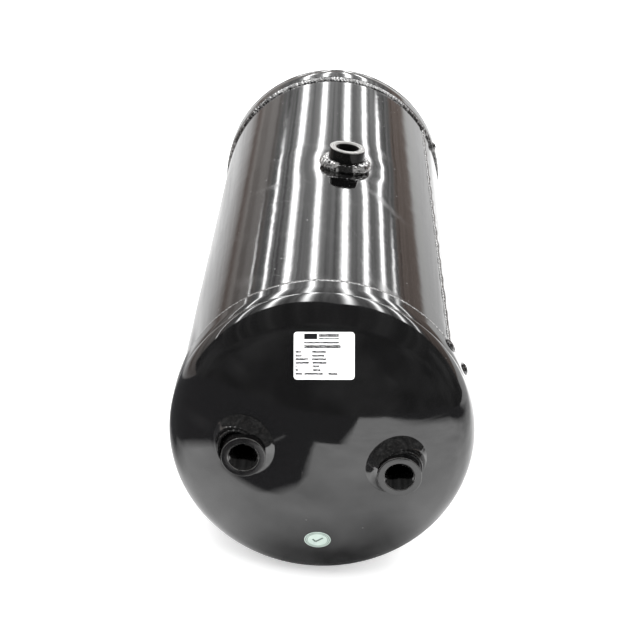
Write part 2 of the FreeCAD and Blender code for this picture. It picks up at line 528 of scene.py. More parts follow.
def portPaint(name, look):
    material, tree, shader = newMaterial(name)
    place = put(tree, "ShaderNodeAttribute", attribute_name="portPlace").outputs["Vector"]
    rings = placed(
        tree, turnedRings, Vector=place, Pitch=look["ringPitch"], Face=port["height"],
        PeelScale=look["peelScale"], Peel=look["peel"], Shade=look["ringShade"]
    )
    worn = placed(
        tree, wornEdges, Vector=place, Outer=bossRadius, Mouth=port["mouth"], OnFace=rings["OnFace"],
        Wear=look["wear"], MouthWear=look["mouthWear"]
    )["Mask"]
    dirt = placed(tree, grime, Vector=place)["Mask"]
    rough = maths(tree, "MULTIPLY_ADD", rings["OnFace"], look["face"] - look["side"], look["side"])
    rough = maths(tree, "MULTIPLY_ADD", dirt, look["dirtRough"], rough)
    rough = maths(tree, "MULTIPLY_ADD", worn, look["wornRough"], rough)
    bare = maths(tree, "MAXIMUM", rings["Bright"], worn)
    colour = blended(tree, dirt, look["colour"], look["dirt"])
    colour = blended(tree, bare, colour, look["steel"])
    coated(tree, shader, colour, rough, rings["Height"], 1.0, look["ringDepth"])
    tree.links.new(bare, shader.inputs["Metallic"])
    shader.inputs["IOR"].default_value = look["index"]
    return material


def weldPaint(name, look):
    material, tree, shader = newMaterial(name)
    place = put(tree, "ShaderNodeTexCoord").outputs["Object"]
    skin = placed(tree, weldSkin, Vector=place, GrainScale=look["grainScale"])
    pits = placed(
        tree, dustSpecks, Vector=place, Scale=look["pitScale"], Size=look["pitSize"], Share=look["pitShare"]
    )["Mask"]
    height = maths(tree, "MULTIPLY_ADD", pits, -look["pitDepth"], skin["Grain"])
    rough = ranged(tree, skin["Cloud"], 0.0, 1.0, look["roughLow"], look["roughHigh"])
    colour = blended(tree, skin["Soot"], look["colour"], look["soot"])
    if look["bare"]:
        bare = placed(
            tree, bareSteel, Vector=place, Scale=look["bareScale"], Low=look["bareLow"], Amount=look["bare"],
            From=look["bareFrom"]
        )["Mask"]
        colour = blended(tree, bare, colour, look["steel"])
        tree.links.new(bare, shader.inputs["Metallic"])
    coated(tree, shader, colour, rough, height, 1.0, look["grainDepth"])
    shader.inputs["IOR"].default_value = look["index"]
    return material


# heads: skirt, knuckle and crown, with a forming groove where the knuckle starts
head = {
    "wall": 2.5 * mm, "skirt": 22 * mm, "knuckle": 38 * mm, "crown": 197 * mm,
    "grooveDepth": 0.18 * mm, "grooveWidth": 1.4 * mm,
    "around": 224, "knuckleSteps": 26, "crownSteps": 52, "cutter": 80 * mm, "cutterInset": 10 * mm,
}
knuckleRing = headRadius - head["knuckle"]
knuckleY = rimY + head["skirt"]
crownY = crownTopY - head["crown"]
knuckleTurn = math.atan2(knuckleRing, knuckleY - crownY)

# ports: turned bosses with a rolled-over mouth and cut threads
port = {
    "height": 17.5 * mm, "root": 6 * mm, "bore": 11.08 * mm, "mouth": 12 * mm, "edge": 0.8 * mm,
    "mouthEdge": 0.35 * mm, "hole": 17.15 * mm, "holeSides": 64, "around": 96,
    "edgeSteps": 5, "mouthSteps": 3, "threadPitch": 1.5 * mm, "threadDepth": 0.85 * mm, "threadTurns": 14,
    "threadSteps": 36, "threadLift": 0.05 * mm,
}
shellPaint = glossPaint("shellPaint", shellPaintLook)
headPaint = glossPaint("headPaint", headPaintLook)
bossPaint = portPaint("portPaint", portPaintLook)
topBossPaint = portPaint("topPortPaint", topPortPaintLook)
beadPaint = weldPaint("weldPaint", weldPaintLook)
topBeadPaint = weldPaint("topBeadPaint", topWeldPaintLook)
collarPaint = weldPaint("collarPaint", collarPaintLook)


def holeCutter(depth, spot, rotation=(0, 0, 0)):  # a bar through a wall, where a port passes
    startFresh()
    bpy.ops.mesh.primitive_cylinder_add(
        vertices=port["holeSides"], radius=port["hole"], depth=depth, location=spot, rotation=rotation
    )
    return named("cutter")


def makeFarHead():
    groove, half = head["grooveDepth"], head["grooveWidth"] / 2
    halfSkirt = head["skirt"] / 2 - half
    runs = [
        ("line", 0, halfSkirt),
        ("line", 0, halfSkirt),
        ("line", -groove, half),
        ("line", groove, half),
        ("arc", knuckleRing, knuckleY, 90 - math.degrees(knuckleTurn), head["knuckleSteps"]),
        ("arc", 0, crownY, math.degrees(knuckleTurn), head["crownSteps"]),
    ]
    piece = lathed("farHeadSkin", (headRadius, rimY), runs, head["around"])
    faceOutwards(piece, Vector((0, rimY, 0)))
    modified(piece, "wall", "SOLIDIFY", thickness=head["wall"], offset=-1, use_even_offset=True)
    piece.location = tankAxis
    applyPlace(piece)
    cutters = []
    for side in ("left", "right"):
        low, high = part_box("far_" + side + "_port_boss")
        spot = ((low.x + high.x) / 2, crownTopY - head["cutterInset"], (low.z + high.z) / 2)
        cutters.append(holeCutter(head["cutter"], spot, (math.pi / 2, 0, 0)))
    cutAway(piece, *cutters)
    return piece


farHead = makeFarHead()
nearHead = copied(farHead, "nearHeadSkin")
mirroredAcross(nearHead, 1)
for piece in (farHead, nearHead):
    smoothed(piece, 30)
finished(farHead, headPaint, "black_paint", "far_head")
finished(nearHead, headPaint, "black_paint", "near_head")
print("heads made")

# shell: a rolled sheet that the top port's weld has drawn in a little
shell = {
    "wall": 2.3 * mm, "around": 240, "along": 96, "cutter": 40 * mm,
    "dips": [  # how far each reaches round the port, how deep it is and how far it fades
        {"reachX": 17 * mm, "reachY": 17 * mm, "depth": 0.55 * mm, "fade": 30 * mm},
        {"reachX": 12 * mm, "reachY": 24 * mm, "depth": 0.38 * mm, "fade": 62 * mm},
    ],
}


def makeShell():
    startFresh()
    bpy.ops.mesh.primitive_cylinder_add(
        vertices=shell["around"], radius=shellRadius, depth=2 * shellEndY, end_fill_type="NOTHING",
        location=tankAxis, rotation=(math.pi / 2, 0, 0)
    )
    piece = named("shellSkin")
    applyPlace(piece)
    pick(piece, "EDGE", lambda a, b: abs(a.y - b.y) > shellEndY)
    bpy.ops.mesh.subdivide(number_cuts=shell["along"] - 1)
    objectMode()
    for dip in shell["dips"]:
        x, y = dip["reachX"], dip["reachY"]
        pick(piece, "VERT", lambda co: abs(co.x) < x and abs(co.y) < y and co.z > axisZ)
        bpy.ops.transform.translate(
            value=(0, 0, -dip["depth"]), use_proportional_edit=True, use_proportional_connected=True,
            proportional_edit_falloff="SMOOTH", proportional_size=dip["fade"]
        )
        objectMode()
    faceOutwards(piece, tankAxis)
    modified(piece, "wall", "SOLIDIFY", thickness=shell["wall"], offset=-1, use_even_offset=True)
    cutAway(piece, holeCutter(shell["cutter"], (0, 0, axisZ + shellRadius)))
    smoothed(piece, 30)
    return finished(piece, shellPaint, "black_paint", "shell")


makeShell()
print("shell made")


def makeBoss():
    # drawn upright along Y with its foot at the wall, threads and all
    edge, lip = port["edge"], port["mouthEdge"]
    chamfer = port["mouth"] - port["bore"]
    runs = [
        ("line", bossRadius - port["bore"], 0),
        ("line", 0, port["root"] + port["height"] - edge),
        ("arc", bossRadius - edge, port["height"] - edge, 90, port["edgeSteps"]),
        ("line", port["mouth"] + lip - (bossRadius - edge), 0),
        ("arc", port["mouth"] + lip, port["height"] - lip, 45, port["mouthSteps"]),
        ("line", -chamfer, -chamfer),
    ]
    piece = lathed("boss", (port["bore"], -port["root"]), runs, port["around"])
    # close the bore wall
    takeUp(piece)
    editMode()
    bpy.ops.mesh.select_mode(type="EDGE")
    bpy.ops.mesh.select_all(action="DESELECT")
    bpy.ops.mesh.select_non_manifold()
    bpy.ops.mesh.bridge_edge_loops()
    objectMode()
    startFresh()
    bpy.ops.mesh.primitive_circle_add(vertices=4, radius=port["threadDepth"], fill_type="NOTHING")
    thread = named("thread")
    editMode()
    bpy.ops.mesh.select_all(action="SELECT")
    foot = (port["bore"] + port["threadLift"], port["threadPitch"] - port["root"], 0)
    bpy.ops.transform.translate(value=foot)
    objectMode()
    modified(
        thread, "turns", "SCREW", axis="Y", screw_offset=port["threadPitch"], iterations=port["threadTurns"],
        steps=port["threadSteps"], render_steps=port["threadSteps"], use_merge_vertices=False
    )
    takeUp(thread)
    editMode()
    bpy.ops.mesh.select_all(action="DESELECT")
    bpy.ops.mesh.select_non_manifold()
    bpy.ops.mesh.fill_holes(sides=4)
    objectMode()
    cleaned(thread)
    joined(piece, thread)
    cleaned(piece)
    smoothed(piece, 32)
    spots = piece.data.attributes.new("portPlace", "FLOAT_VECTOR", "POINT")
    spots.data.foreach_set("vector", [value for vert in piece.data.vertices for value in vert.co])
    return piece


boss = makeBoss()
print("boss pattern made,", len(boss.data.polygons), "faces")

endPorts = {"near_left": -1, "near_right": -1, "far_left": 1, "far_right": 1}  # and which end each is at


def setBoss(name, node, foot, way, material):
    piece = copied(boss, name)
    standOn(piece, foot, way)
    return finished(piece, material, "port_paint", node)


for name, end in endPorts.items():
    low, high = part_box(name + "_port_boss")
    face = high.y if end > 0 else low.y
    foot = Vector(((low.x + high.x) / 2, face - end * port["height"], (low.z + high.z) / 2))
    setBoss(name + "_boss", name + "_port_boss", foot, Vector((0, end, 0)), bossPaint)
topFoot = Vector(((topLow.x + topHigh.x) / 2, (topLow.y + topHigh.y) / 2, topHigh.z - port["height"]))
setBoss("top_boss", "top_port_boss", topFoot, Vector((0, 0, 1)), topBossPaint)
bpy.data.objects.remove(boss)
print("five bosses set")


perRipple = 3  # points along each ripple of a weld, one of them its crest
skinDepth = 0.05 * mm  # how far inside the line from toe to top still counts as a bead's outer skin


# welds: a bead drawn round, rippled, and its ripples swept back in the middle
def ripple(piece, bead, seed):
    count, toe = bead["ripples"], Vector(bead["toe"])
    chord = Vector(bead["top"]) - toe
    right = Vector((chord.y, -chord.x)).normalized()
    rings, crests = {}, []
    for vert in piece.data.vertices:
        radius = math.hypot(vert.co.x, vert.co.z)
        spot = Vector((radius, vert.co.y)) - toe
        along = spot.dot(chord) / chord.length_squared
        if spot.dot(right) < -skinDepth or along < -0.01 or along > 1.01:
            continue
        rings.setdefault(round(along, 2), []).append(vert.index)
        number = round(math.atan2(vert.co.z, vert.co.x) / fullTurn * count * perRipple)
        if number % perRipple == 0:
            crests.append(vert.index)
    pickNumbers(piece, crests)
    bpy.ops.transform.shrink_fatten(value=bead["ripple"])
    for along, numbers in rings.items():
        sweep = bead["lag"] * (1 - (2 * along - 1) ** 2) * fullTurn / count
        if abs(sweep) > 1e-6:
            pickNumbers(piece, numbers)
            bpy.ops.transform.rotate(
                value=sweep, orient_axis="Y", orient_type="GLOBAL", center_override=(0, 0, 0)
            )
    pickNumbers(piece, [i for numbers in rings.values() for i in numbers])
    bpy.ops.transform.vertex_random(offset=bead["scatter"], seed=seed)
    objectMode()
    modified(piece, "rounding", "SUBSURF", levels=1, render_levels=1)


girthBead = {
    "toe": (shellRadius - 0.05 * mm, rimY - 8.2 * mm), "top": (headRadius - 0.42 * mm, rimY + 0.9 * mm),
    "swell": 1.0 * mm, "ripples": 210, "ripple": 0.50 * mm, "lag": 0.9, "scatter": 0.34 * mm,
    "swellSteps": 4, "lip": 2.2 * mm, "foot": (0.9 * mm, 0.6 * mm), "farSeed": 11, "nearSeed": 23,
    "lumpScatter": 0.03, "lumpSeed": 5,
    "farLumps": [  # degrees above the horizontal, radius, place along the tank and size of each
        (40, shellRadius + 1.4 * mm, rimY - 4 * mm, (3.4 * mm, 4.6 * mm, 1.5 * mm)),
        (27, headRadius + 0.2 * mm, rimY + 2 * mm, (4.5 * mm, 4 * mm, 2.2 * mm)),
    ],
    "nearLumps": [
        (41.6, headRadius - 0.2 * mm, rimY + 1.8 * mm, (6.8 * mm, 4.4 * mm, 2.4 * mm)),
        (29.4, headRadius - 0.4 * mm, rimY - 1.5 * mm, (5.6 * mm, 4.8 * mm, 2.9 * mm)),
    ],
}


def onRing(degrees, radius, y):  # degrees above the horizontal, on the +X side
    turn = math.radians(degrees)
    return (radius * math.cos(turn), y, radius * math.sin(turn))


def addLump(piece, spot, size):
    startFresh()
    bpy.ops.mesh.primitive_ico_sphere_add(subdivisions=4, radius=1, location=spot)
    lump = named("lump")
    lump.scale = size
    lump.rotation_euler = (0, math.atan2(spot[0], spot[2]), 0)
    editMode()
    bpy.ops.transform.vertex_random(offset=girthBead["lumpScatter"], seed=girthBead["lumpSeed"])
    objectMode()
    applyPlace(lump)
    joined(piece, lump)


def makeGirthBead(name, lumps, seed):
    toe, top = girthBead["toe"], girthBead["top"]
    inward, up = girthBead["foot"]
    inner = straights(top, (top[0] - girthBead["lip"], top[1]), (toe[0] - inward, toe[1] + up), toe)
    runs = [bulge(toe, top, girthBead["swell"], girthBead["swellSteps"]), *inner]
    piece = lathed(name, toe, runs, girthBead["ripples"] * perRipple)
    ripple(piece, girthBead, seed)
    for degrees, radius, y, size in lumps:
        addLump(piece, onRing(degrees, radius, y), size)
    piece.location = tankAxis
    applyPlace(piece)
    return piece


farBead = makeGirthBead("farGirthBead", girthBead["farLumps"], girthBead["farSeed"])
nearBead = makeGirthBead("nearGirthBead", girthBead["nearLumps"], girthBead["nearSeed"])
mirroredAcross(nearBead, 1)
for bead, node in ((farBead, "far_girth_weld"), (nearBead, "near_girth_weld")):
    smoothed(bead, 60)
    finished(bead, beadPaint, "weld_bead", node)
print("girth welds made")

seamBead = {
    "angle": 39.0, "width": 6 * mm, "height": 1.25 * mm, "pitch": 2.9 * mm, "ripple": 0.5 * mm, "lag": 0.8,
    "scatter": 0.24 * mm, "end": 8 * mm, "lap": 3 * mm, "sides": 14, "buried": 0.15 * mm, "sunk": 0.1 * mm,
    "seed": 31,
}


def makeSeamBead():
    length = 2 * (rimY - seamBead["end"]) + seamBead["lap"]
    ripples = round(length / seamBead["pitch"])
    startFresh()
    bpy.ops.mesh.primitive_cylinder_add(
        vertices=seamBead["sides"], radius=1, depth=length, end_fill_type="NGON", rotation=(math.pi / 2, 0, 0)
    )
    piece = named("seamBead")
    piece.scale = (seamBead["width"] / 2, seamBead["height"] + seamBead["buried"], 1)
    applyPlace(piece)
    pick(piece, "EDGE", lambda a, b: abs(a.y - b.y) > length * 0.9)
    bpy.ops.mesh.subdivide(number_cuts=ripples * perRipple - 1)
    objectMode()
    step = length / (ripples * perRipple)
    upper = [v.index for v in piece.data.vertices if v.co.z > 0]
    crests = [i for i in upper if round((piece.data.vertices[i].co.y + length / 2) / step) % perRipple == 1]
    lanes = {}
    for i in upper:
        lanes.setdefault(round(abs(piece.data.vertices[i].co.x), 5), []).append(i)
    pickNumbers(piece, crests)
    bpy.ops.transform.shrink_fatten(value=seamBead["ripple"])
    for lane, numbers in lanes.items():
        sweep = seamBead["lag"] * seamBead["pitch"] * (1 - (lane / (seamBead["width"] / 2)) ** 2)
        pickNumbers(piece, numbers)
        bpy.ops.transform.translate(value=(0, sweep, 0))
    pickNumbers(piece, upper)
    bpy.ops.transform.vertex_random(offset=seamBead["scatter"], seed=seamBead["seed"])
    objectMode()
    modified(piece, "rounding", "SUBSURF", levels=1, render_levels=1)
    turn = math.radians(seamBead["angle"])
    piece.rotation_euler = (0, math.pi / 2 - turn, 0)
    piece.location = Vector(onRing(seamBead["angle"], shellRadius - seamBead["sunk"], 0)) + tankAxis
    applyPlace(piece)
    smoothed(piece, 60)
    return finished(piece, beadPaint, "weld_bead", "longitudinal_seam_weld")


makeSeamBead()
print("seam weld made")

# collars: the fillets round the ports, from the toe on the wall up to the top on the boss
endCollar = {
    "toe": (26.6 * mm, -2.0 * mm), "top": (17.3 * mm, 12.0 * mm), "swell": -2.1 * mm, "swellSteps": 9,
    "aside": -1.5 * mm, "ripples": 28, "ripple": 0.04 * mm, "lag": 0.4, "scatter": 0.05 * mm,
    "seeds": {"near_left": 3, "near_right": 4, "far_left": 5, "far_right": 6},
}
topCollar = {
    "toe": (25.0 * mm, -0.9 * mm), "top": (17.3 * mm, 6.2 * mm), "swell": 2.3 * mm, "swellSteps": 9,
    "ripples": 17, "ripple": 0.85 * mm, "lag": 0.9, "scatter": 0.45 * mm, "seed": 9,
}
# the hidden corners of a collar: how far in from its top, and how far down from the top or from the toe
collarCore = {"lip": (3.2 * mm, 0.5 * mm), "heel": (2.9 * mm, 9 * mm)}


def makeCollar(name, collar, seed):
    toe, top = collar["toe"], collar["top"]
    lip = (top[0] - collarCore["lip"][0], top[1] - collarCore["lip"][1])
    heel = (top[0] - collarCore["heel"][0], toe[1] - collarCore["heel"][1])
    runs = [bulge(toe, top, collar["swell"], collar["swellSteps"]), *straights(top, lip, heel, toe)]
    piece = lathed(name, toe, runs, collar["ripples"] * perRipple)
    ripple(piece, collar, seed)
    smoothed(piece, 60)
    return piece


for name, end in endPorts.items():
    low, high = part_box(name + "_port_boss")
    x, z = (low.x + high.x) / 2, (low.z + high.z) / 2
    rise = math.sqrt(head["crown"] ** 2 - x ** 2 - (z - axisZ) ** 2)
    foot = Vector((x, end * (crownY + rise), z))
    way = (foot - Vector((0, end * crownY, axisZ))).normalized()
    piece = makeCollar(name + "_collar", endCollar, endCollar["seeds"][name])
    foot.x += endCollar["aside"]
    standOn(piece, foot, way)
    finished(piece, collarPaint, "weld_bead", name + "_port_weld")
piece = makeCollar("top_collar", topCollar, topCollar["seed"])
standOn(piece, topFoot, Vector((0, 0, 1)))
finished(piece, topBeadPaint, "weld_bead", "top_port_weld")
print("port welds made")

# papers on the near head: the CAD sheets stay, and get their print
label = {
    "place": (-9.3 * mm, 89.2 * mm), "tilt": 7.8, "width": 46 * mm, "height": 36 * mm,
    "pale": (0.93, 0.93, 0.925, 1), "shade": (0.86, 0.86, 0.865, 1), "ink": (0.006, 0.006, 0.008, 1),
    "fibreScale": 2500.0, "cloudScale": 60.0, "cloudHigh": 0.75, "rough": (0.42, 0.55), "tooth": 0.02 * mm,
    "marksAcross": 62.0, "marksDown": 40.0, "gaps": (0.36, 0.46), "gapInk": 0.30,
    "solid": (0.4, 0.18),  # the block in this corner isn't broken up
    "bars": [  # left, right, top and bottom of each printed bar, as shares of the sheet
        (0.17, 0.385, 0.035, 0.155), (0.41, 0.74, 0.04, 0.105), (0.41, 0.74, 0.125, 0.155),
        (0.17, 0.74, 0.205, 0.245), (0.17, 0.77, 0.275, 0.345),
        (0.03, 0.12, 0.395, 0.44), (0.30, 0.53, 0.395, 0.44),
        (0.03, 0.13, 0.475, 0.52), (0.30, 0.50, 0.475, 0.52),
        (0.03, 0.235, 0.55, 0.595), (0.295, 0.53, 0.55, 0.595),
        (0.03, 0.25, 0.625, 0.67), (0.31, 0.54, 0.625, 0.67),
        (0.03, 0.05, 0.70, 0.745), (0.31, 0.42, 0.70, 0.745),
        (0.03, 0.07, 0.78, 0.825), (0.31, 0.44, 0.78, 0.825),
        (0.03, 0.14, 0.855, 0.90), (0.175, 0.48, 0.855, 0.90), (0.57, 0.72, 0.855, 0.90),
    ],
}
sticker = {
    "place": (7 * mm, -71 * mm), "tilt": 0.0,
    "pale": (0.44, 0.52, 0.475, 1), "shade": (0.37, 0.45, 0.41, 1), "ink": (0.02, 0.045, 0.032, 1),
    "fibreScale": 2200.0, "cloudScale": 180.0, "cloudHigh": 0.7, "rough": (0.35, 0.5), "tooth": 0.02 * mm,
    "inkStrength": 0.92, "ringSoft": 0.12 * mm, "tickSoft": 0.1 * mm,
    "rings": [(9.4 * mm, 0.28 * mm), (8.2 * mm, 0.16 * mm)],  # radius and half width
    "tick": [  # middle, turn, half length and half width of each stroke
        ((-2.6 * mm, -0.9 * mm), -48, 2.0 * mm, 0.75 * mm), ((1.3 * mm, 0.5 * mm), 48, 3.9 * mm, 0.75 * mm),
    ],
}


# printed bar: an upright box on a sheet, in shares of its width and height
def makePrintedBar():
    inputs = {"U": 0.0, "V": 0.0, "Left": 0.0, "Right": 1.0, "Top": 0.0, "Bottom": 1.0, "Soft": 0.003}
    tree, given, out = group("printedBar", inputs, ["Mask"])
    sides = []
    for inner, outer in (("U", "Left"), ("Right", "U"), ("V", "Top"), ("Bottom", "V")):
        inside = maths(tree, "SUBTRACT", given[inner], given[outer])
        sides.append(ranged(tree, inside, maths(tree, "MULTIPLY", given["Soft"], -1.0), given["Soft"]))
    tree.links.new(folded(tree, "MULTIPLY", *sides), out["Mask"])
    return tree


# paper fibres: the tooth of a sheet, and its faint clouds
def makePaperFibres():
    inputs = {"Vector": None, "FibreScale": 2500.0, "CloudScale": 60.0, "CloudHigh": 0.75}
    tree, given, out = group("paperFibres", inputs, ["Fibres", "Clouds"])
    tree.links.new(noise(tree, given["Vector"], given["FibreScale"], 3.0, 0.6), out["Fibres"])
    clouds = patches(tree, given["Vector"], given["CloudScale"], 2.0, 0.35, given["CloudHigh"])
    tree.links.new(clouds, out["Clouds"])
    return tree


printedBar = makePrintedBar()
paperFibres = makePaperFibres()


def labelInk(tree, spot):
    parts = split(tree, spot)
    u = maths(tree, "MULTIPLY_ADD", parts["X"], 1 / label["width"], 0.5)
    v = maths(tree, "MULTIPLY_ADD", parts["Z"], -1 / label["height"], 0.5)
    bars = []
    for left, right, top, bottom in label["bars"]:
        bar = placed(tree, printedBar, U=u, V=v, Left=left, Right=right, Top=top, Bottom=bottom)
        bars.append(bar["Mask"])
    acrossMarks = maths(tree, "MULTIPLY", u, label["marksAcross"])
    downMarks = maths(tree, "MULTIPLY", v, label["marksDown"])
    cells = put(tree, "ShaderNodeCombineXYZ", {"X": acrossMarks, "Y": downMarks}).outputs[0]
    broken = ranged(tree, noise(tree, cells, 1.0, 1.0), *label["gaps"], label["gapInk"], 1.0)
    right, bottom = label["solid"]
    solid = maths(tree, "MULTIPLY", maths(tree, "LESS_THAN", v, bottom), maths(tree, "LESS_THAN", u, right))
    return maths(tree, "MULTIPLY", folded(tree, "MAXIMUM", *bars), maths(tree, "MAXIMUM", broken, solid))


def stickerInk(tree, spot):
    parts = split(tree, spot)
    radius = fromAxis(tree, spot)
    marks = []
    for ring, wide in sticker["rings"]:
        away = maths(tree, "ABSOLUTE", maths(tree, "SUBTRACT", radius, ring))
        marks.append(ranged(tree, away, wide, wide + sticker["ringSoft"], 1.0, 0.0))
    flat = put(tree, "ShaderNodeCombineXYZ", {"X": parts["X"], "Y": parts["Z"]}).outputs[0]
    soft = sticker["tickSoft"]
    for middle, turn, long, wide in sticker["tick"]:
        stroke = split(tree, inFrame(tree, flat, (middle[0], middle[1], 0), (0, 0, math.radians(turn))))
        across = ranged(tree, maths(tree, "ABSOLUTE", stroke["Y"]), wide, wide + soft, 1.0, 0.0)
        length = ranged(tree, maths(tree, "ABSOLUTE", stroke["X"]), long, long + soft, 1.0, 0.0)
        marks.append(maths(tree, "MULTIPLY", across, length))
    return maths(tree, "MULTIPLY", folded(tree, "MAXIMUM", *marks), sticker["inkStrength"])


def printedPaper(name, paper, inkOn):
    material, tree, shader = newMaterial(name)
    x, z = paper["place"]
    out = Vector((x, -math.sqrt(head["crown"] ** 2 - x ** 2 - z ** 2), z))
    lean = Vector((0, -1, 0)).rotation_difference(out.normalized()).to_matrix()
    turn = (lean @ Matrix.Rotation(math.radians(-paper["tilt"]), 3, "Y")).to_euler()
    # coordinates that lie in the sheet, from its middle
    spot = inFrame(
        tree, put(tree, "ShaderNodeTexCoord").outputs["Object"], Vector((0, -crownY, axisZ)) + out, turn
    )
    sheet = placed(
        tree, paperFibres, Vector=spot, FibreScale=paper["fibreScale"], CloudScale=paper["cloudScale"],
        CloudHigh=paper["cloudHigh"]
    )
    colour = blended(tree, sheet["Clouds"], paper["pale"], paper["shade"])
    colour = blended(tree, inkOn(tree, spot), colour, paper["ink"])
    rough = ranged(tree, sheet["Fibres"], 0.3, 0.7, *paper["rough"])
    coated(tree, shader, colour, rough, sheet["Fibres"], 0.5, paper["tooth"])
    return material


labelPaper = printedPaper("labelPaper", label, labelInk)
stickerPaper = printedPaper("stickerPaper", sticker, stickerInk)
for node, material in (("rating_label", labelPaper), ("inspection_sticker", stickerPaper)):
    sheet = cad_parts[node]
    sheet.data.materials.clear()
    sheet.data.materials.append(material)
print("papers printed")

# studio: a pale floor and a soft light overhead, in a room that only gloss sees and whose front is dark
studio = {
    "floorSize": 14.0, "floorTone": 0.90, "floorSpread": 0.02, "floorLift": 0.40, "floorRough": 0.9,
    "floorGloss": 0.1, "dome": 1.3,
    "frontLow": 0.08, "frontHigh": 0.22, "frontEdge": 0.15, "frontSpread": 0.55,
    "lamp": 2.2, "lampSize": (4.0, 5.0), "lampPlace": (0, -0.6, 3.2),
}


def makeFloor():
    startFresh()
    bpy.ops.mesh.primitive_plane_add(size=studio["floorSize"])
    floor = named("floor")
    material, tree, shader = newMaterial("floorPaper")
    place = put(tree, "ShaderNodeTexCoord").outputs["Object"]
    low, high = studio["floorTone"], studio["floorTone"] + studio["floorSpread"]
    tone = ranged(tree, noise(tree, place, 30.0, 3.0), 0.3, 0.7, low, high)
    tree.links.new(grey(tree, tone), shader.inputs["Base Color"])
    shader.inputs["Roughness"].default_value = studio["floorRough"]
    shader.inputs["Specular IOR Level"].default_value = studio["floorGloss"]
    shader.inputs["Emission Color"].default_value = (1, 1, 1, 1)
    shader.inputs["Emission Strength"].default_value = studio["floorLift"]
    floor.data.materials.append(material)
    floor.visible_glossy = False


def frontTone(tree, vector):  # the dark front of the room
    return ranged(tree, noise(tree, vector, 2.5, 3.0), 0.42, 0.72, studio["frontLow"], studio["frontHigh"])


def forGloss(sheet, colourAt):  # a glowing sheet that only gloss sees
    material = bpy.data.materials.new(sheet.name)
    material.use_nodes = True
    tree = material.node_tree
    tree.nodes.remove(tree.nodes["Principled BSDF"])
    place = put(tree, "ShaderNodeTexCoord").outputs["Object"]
    glow = put(tree, "ShaderNodeEmission", {"Color": colourAt(tree, place), "Strength": 1.0})
    tree.links.new(glow.outputs[0], tree.nodes["Material Output"].inputs["Surface"])
    sheet.data.materials.append(material)
    sheet.visible_camera = False
    sheet.visible_diffuse = False
    sheet.visible_shadow = False
    sheet.visible_transmission = False


# the floor as gloss sees it: a pale glowing sheet with dark room beyond it, and a painted shadow of the tank
# under it
beyond = 9.0  # past every edge of the floor
floorView = {
    "pale": 1.05, "paleLow": 0.76, "paleHigh": 1.16, "cloudScale": 8.0, "wobbleScale": 9.0, "wobble": 0.014,
    "dark": (0.13, 0.13, 0.135, 1), "brown": (0.24, 0.19, 0.17, 1), "far": (0.50, 0.46, 0.44, 1),
    "paleAndShadedPatches": [  # how much paler (darker where negative), then the left, right, front and back of each patch and its soft edge
        (0.38, -beyond, beyond, -beyond, -0.30, 0.06), (0.6, 0.27, 0.42, -0.54, -0.40, 0.14),
        # the patch darker by 1.05, under the tank, is a painted shadow of the tank on the floor
        (0.6, -0.26, -0.20, -0.45, -0.38, 0.04), (-1.05, -0.052, 0.122, -0.374, 0.5, 0.035),
        (0.25, -0.20, -0.08, -0.40, -0.28, 0.04), (-0.2, -0.05, 0.10, -0.50, -0.40, 0.05),
        (0.3, 0.0, beyond, -beyond, -0.53, 0.05),
    ],
    "beside": [(0.17, 0.60, -beyond, beyond, 0.12), (-beyond, beyond, -0.08, 0.80, 0.35)], "besideLift": 1.5,
    "brownPatch": (-beyond, -0.60, 0.15, beyond, 0.3), "farPatch": (-beyond, -1.25, 0.15, beyond, 0.4),
    "notch": (-0.178, -0.022, -beyond, -0.430, 0.010),
    "notchCut": (0.0, beyond, -beyond, beyond, 0.012, 33.0, (-0.066, -0.431)),  # its corner, cut off
    "darks": [  # some are turned about a corner
        (-beyond, -0.257, -beyond, 0.10, 0.02), (-0.36, -0.205, -0.30, 0.12, 0.04),
        (-0.33, -0.178, -beyond, -0.47, 0.012), (-0.33, 0.12, -beyond, -0.868, 0.015),
        (-beyond, 0.0, -beyond, 0.0, 0.03, 18.0, (0.12, -0.88)),
        (1.2, beyond, -1.6, 0.25, 0.30), (0.0, beyond, -beyond, 0.0, 0.22, 23.0, (1.28, -1.50)),
        (-beyond, beyond, -beyond, -5.2, 1.5),
    ],
}


# soft patch: a box on the floor with faded edges
def makeSoftPatch():
    inputs = {"Vector": None, "Left": -1.0, "Right": 1.0, "Front": -1.0, "Back": 1.0, "Soft": 0.05}
    tree, given, out = group("softPatch", inputs, ["Mask"])
    parts = split(tree, given["Vector"])
    sides = []
    for upper, lower in (
        (parts["X"], given["Left"]), (given["Right"], parts["X"]),
        (parts["Y"], given["Front"]), (given["Back"], parts["Y"]),
    ):
        inside = maths(tree, "DIVIDE", maths(tree, "SUBTRACT", upper, lower), given["Soft"])
        sides.append(maths(tree, "MULTIPLY_ADD", inside, 0.5, 0.5, clamp=True))
    tree.links.new(folded(tree, "MULTIPLY", *sides), out["Mask"])
    return tree


softPatch = makeSoftPatch()


